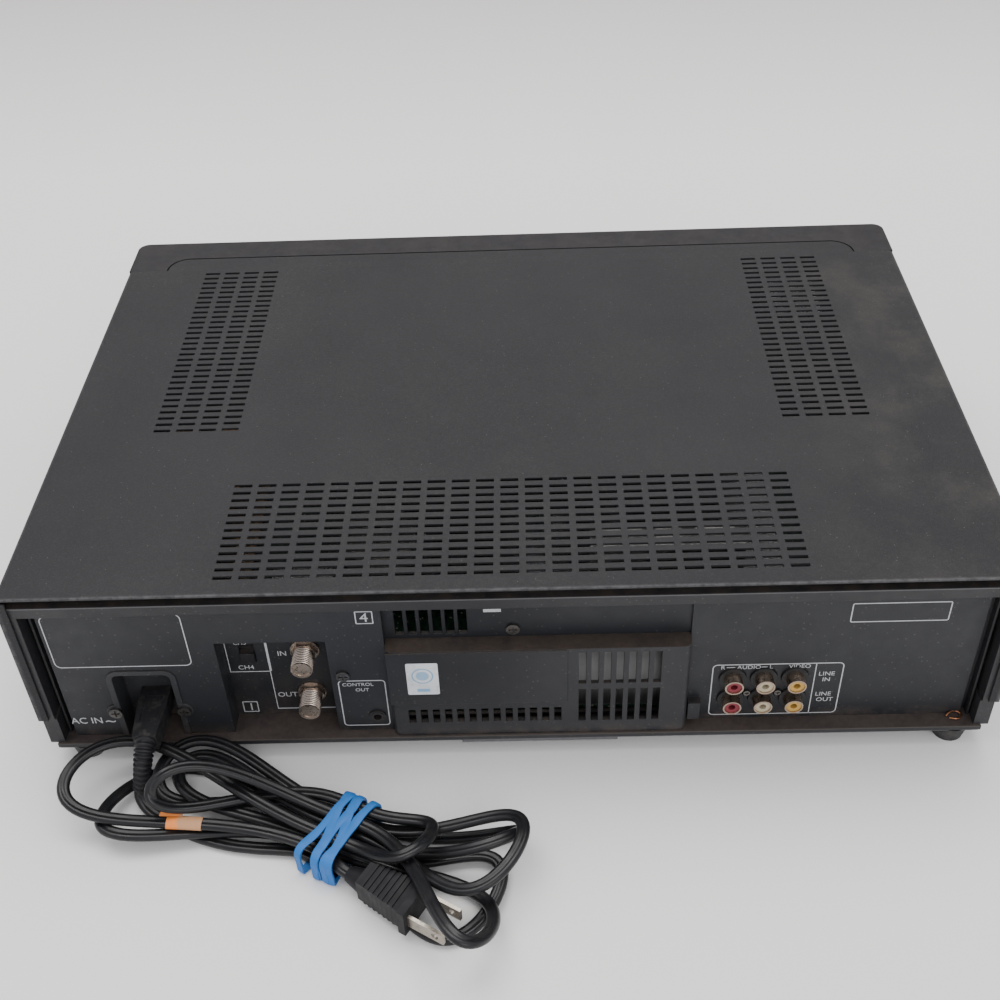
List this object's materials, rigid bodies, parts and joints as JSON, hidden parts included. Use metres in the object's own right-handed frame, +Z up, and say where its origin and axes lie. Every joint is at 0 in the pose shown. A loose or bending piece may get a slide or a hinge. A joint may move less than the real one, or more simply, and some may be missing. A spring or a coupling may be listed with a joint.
{
  "type": "video cassette recorder",
  "caption": "Low wide video cassette recorder with slotted steel cover, stepped rear panel with sockets, front cassette slot and a bundled mains lead",
  "frame": {"origin": "middle of the footprint, on the surface it stands on, without the mains lead", "axes": "X across its width, -Y towards the viewer in front of it, +Y to the back with its sockets, Z up"},
  "size_m": [0.43, 0.4091, 0.105],
  "materials": {
    "top_cover": "fine matt texture",
    "chassis_frame": "moulded",
    "bottom_plate": "plain",
    "rear_panel": "moulded",
    "rear_vent_box": "moulded",
    "front_bezel": "moulded",
    "display_window": "smoked",
    "feet": "plain",
    "screws": "blackened",
    "front_board": "lacquered board",
    "display_module": "tube",
    "rf_jacks": "nickel plated",
    "tuner_can": "tinned",
    "rca_block": "plain",
    "rca_shells": "nickel plated",
    "rca_rings_red": "plain",
    "rca_rings_white": "plain",
    "rca_rings_yellow": "plain",
    "control_jack": "plain",
    "ac_inlet": "moulded",
    "power_connector": "moulded",
    "strain_relief": "ribbed",
    "cord_lead": "flat twin",
    "cord_hank": "flat twin",
    "rubber_band": "stretched",
    "plug_body": "ribbed",
    "plug_blades": "nickel plated",
    "main_board": "lacquered board",
    "power_board": "paper board",
    "power_transformer": "laminated",
    "heat_sink": "plain",
    "signal_shield": "tinned",
    "deck_plate": "plated",
    "lower_drum": "machined",
    "capstan_motor": "plated",
    "loading_motor": "plain",
    "cassette_door": "smooth",
    "control_door": "smooth",
    "power_button": "smooth",
    "eject_button": "smooth",
    "play_button": "smooth",
    "stop_button": "smooth",
    "rewind_button": "smooth",
    "forward_button": "smooth",
    "pause_button": "smooth",
    "record_button": "smooth",
    "channel_up_button": "smooth",
    "channel_down_button": "smooth",
    "jog_dial": "smooth",
    "shuttle_ring": "ribbed",
    "channel_switch": "plain",
    "upper_drum": "polished",
    "capstan": "ground",
    "pinch_arm": "plated",
    "pinch_roller": "plain",
    "supply_reel": "plain",
    "take_up_reel": "plain",
    "cage_slider": "plated",
    "cassette_cage": "plated",
    "cam_gear": "plain"
  },
  "bodies": {
    "recorder": {"top_cover": "top_cover", "chassis_frame": "chassis_frame", "bottom_plate": "bottom_plate", "rear_panel": "rear_panel", "rear_vent_box": "rear_vent_box", "front_bezel": "front_bezel", "display_window": "display_window", "feet": "feet", "screws": "screws", "front_board": "front_board", "display_module": "display_module", "rf_jacks": "rf_jacks", "tuner_can": "tuner_can", "rca_block": "rca_block", "rca_shells": "rca_shells", "rca_rings_red": "rca_rings_red", "rca_rings_white": "rca_rings_white", "rca_rings_yellow": "rca_rings_yellow", "control_jack": "control_jack", "ac_inlet": "ac_inlet", "power_connector": "power_connector", "strain_relief": "strain_relief", "cord_lead": "cord_lead", "cord_hank": "cord_hank", "rubber_band": "rubber_band", "plug_body": "plug_body", "plug_blades": "plug_blades", "main_board": "main_board", "power_board": "power_board", "power_transformer": "power_transformer", "heat_sink": "heat_sink", "signal_shield": "signal_shield", "deck_plate": "deck_plate", "lower_drum": "lower_drum", "capstan_motor": "capstan_motor", "loading_motor": "loading_motor"},
    "cassette_door_body": {"cassette_door": "cassette_door"},
    "control_door_body": {"control_door": "control_door"},
    "power_button_body": {"power_button": "power_button"},
    "eject_button_body": {"eject_button": "eject_button"},
    "play_button_body": {"play_button": "play_button"},
    "stop_button_body": {"stop_button": "stop_button"},
    "rewind_button_body": {"rewind_button": "rewind_button"},
    "forward_button_body": {"forward_button": "forward_button"},
    "pause_button_body": {"pause_button": "pause_button"},
    "record_button_body": {"record_button": "record_button"},
    "channel_up_button_body": {"channel_up_button": "channel_up_button"},
    "channel_down_button_body": {"channel_down_button": "channel_down_button"},
    "jog_dial_body": {"jog_dial": "jog_dial"},
    "shuttle_ring_body": {"shuttle_ring": "shuttle_ring"},
    "channel_switch_body": {"channel_switch": "channel_switch"},
    "upper_drum_body": {"upper_drum": "upper_drum"},
    "capstan_body": {"capstan": "capstan"},
    "pinch_arm_body": {"pinch_arm": "pinch_arm"},
    "pinch_roller_body": {"pinch_roller": "pinch_roller"},
    "supply_reel_body": {"supply_reel": "supply_reel"},
    "take_up_reel_body": {"take_up_reel": "take_up_reel"},
    "cage_slider_body": {"cage_slider": "cage_slider"},
    "cassette_cage_body": {"cassette_cage": "cassette_cage"},
    "cam_gear_body": {"cam_gear": "cam_gear"}
  },
  "joints": [
    {"name": "cassette_door_swing", "type": "hinge", "parent": "recorder", "child": "cassette_door_body", "pos_m": [-0.02, -0.1457, 0.0933], "axis": [1, 0, 0], "range_deg": [0, 80], "stiffness_Nm_per_rad": 0.03},
    {"name": "control_door_fold", "type": "hinge", "parent": "recorder", "child": "control_door_body", "pos_m": [-0.02, -0.1457, 0.0152], "axis": [1, 0, 0], "range_deg": [0, 90]},
    {"name": "power_press", "type": "slide", "parent": "recorder", "child": "power_button_body", "axis": [0, 1, 0], "range_m": [0, 0.0015], "stiffness_N_per_m": 300},
    {"name": "eject_press", "type": "slide", "parent": "recorder", "child": "eject_button_body", "axis": [0, 1, 0], "range_m": [0, 0.0015], "stiffness_N_per_m": 300},
    {"name": "play_press", "type": "slide", "parent": "recorder", "child": "play_button_body", "axis": [0, 1, 0], "range_m": [0, 0.0015], "stiffness_N_per_m": 300},
    {"name": "stop_press", "type": "slide", "parent": "recorder", "child": "stop_button_body", "axis": [0, 1, 0], "range_m": [0, 0.0015], "stiffness_N_per_m": 300},
    {"name": "rewind_press", "type": "slide", "parent": "recorder", "child": "rewind_button_body", "axis": [0, 1, 0], "range_m": [0, 0.0015], "stiffness_N_per_m": 300},
    {"name": "forward_press", "type": "slide", "parent": "recorder", "child": "forward_button_body", "axis": [0, 1, 0], "range_m": [0, 0.0015], "stiffness_N_per_m": 300},
    {"name": "pause_press", "type": "slide", "parent": "recorder", "child": "pause_button_body", "axis": [0, 1, 0], "range_m": [0, 0.0015], "stiffness_N_per_m": 300},
    {"name": "record_press", "type": "slide", "parent": "recorder", "child": "record_button_body", "axis": [0, 1, 0], "range_m": [0, 0.0015], "stiffness_N_per_m": 300},
    {"name": "channel_up_press", "type": "slide", "parent": "recorder", "child": "channel_up_button_body", "axis": [0, 1, 0], "range_m": [0, 0.0015], "stiffness_N_per_m": 300},
    {"name": "channel_down_press", "type": "slide", "parent": "recorder", "child": "channel_down_button_body", "axis": [0, 1, 0], "range_m": [0, 0.0015], "stiffness_N_per_m": 300},
    {"name": "jog_turn", "type": "hinge", "parent": "recorder", "child": "jog_dial_body", "pos_m": [0.15, -0.147, 0.047], "axis": [0, 1, 0], "continuous": true},
    {"name": "shuttle_turn", "type": "hinge", "parent": "recorder", "child": "shuttle_ring_body", "pos_m": [0.15, -0.147, 0.047], "axis": [0, 1, 0], "range_deg": [-70, 70], "stiffness_Nm_per_rad": 0.05},
    {"name": "channel_select", "type": "slide", "parent": "recorder", "child": "channel_switch_body", "axis": [0, 0, 1], "range_m": [0, 0.004]},
    {"name": "drum_spin", "type": "hinge", "parent": "recorder", "child": "upper_drum_body", "pos_m": [-0.025, 0.038, 0.06], "axis": [0, 0, 1], "continuous": true},
    {"name": "capstan_spin", "type": "hinge", "parent": "recorder", "child": "capstan_body", "pos_m": [0.04804, -0.00797, 0.03], "axis": [0, 0, 1], "continuous": true},
    {"name": "pinch_swing", "type": "hinge", "parent": "recorder", "child": "pinch_arm_body", "pos_m": [0.068, 0.014, 0.04], "axis": [0, 0, -1], "range_deg": [0, 24]},
    {"name": "pinch_roller_spin", "type": "hinge", "parent": "pinch_arm_body", "child": "pinch_roller_body", "pos_m": [0.06236, -0.00675, 0.045], "axis": [0, 0, 1], "continuous": true},
    {"name": "supply_reel_spin", "type": "hinge", "parent": "recorder", "child": "supply_reel_body", "pos_m": [-0.066, -0.077, 0.04], "axis": [0, 0, 1], "continuous": true},
    {"name": "take_up_reel_spin", "type": "hinge", "parent": "recorder", "child": "take_up_reel_body", "pos_m": [0.026, -0.077, 0.04], "axis": [0, 0, 1], "continuous": true},
    {"name": "cage_feed", "type": "slide", "parent": "recorder", "child": "cage_slider_body", "axis": [0, 1, 0], "range_m": [0, 0.03]},
    {"name": "cage_lower", "type": "slide", "parent": "cage_slider_body", "child": "cassette_cage_body", "axis": [0, 0, -1], "range_m": [0, 0.02]},
    {"name": "cam_turn", "type": "hinge", "parent": "recorder", "child": "cam_gear_body", "pos_m": [0.068, 0.04, 0.04], "axis": [0, 0, 1], "range_deg": [0, 160]}
  ],
  "couplings": [
    {"joint": "pinch_swing", "follows": "cam_turn", "ratio": 0.15}
  ]
}
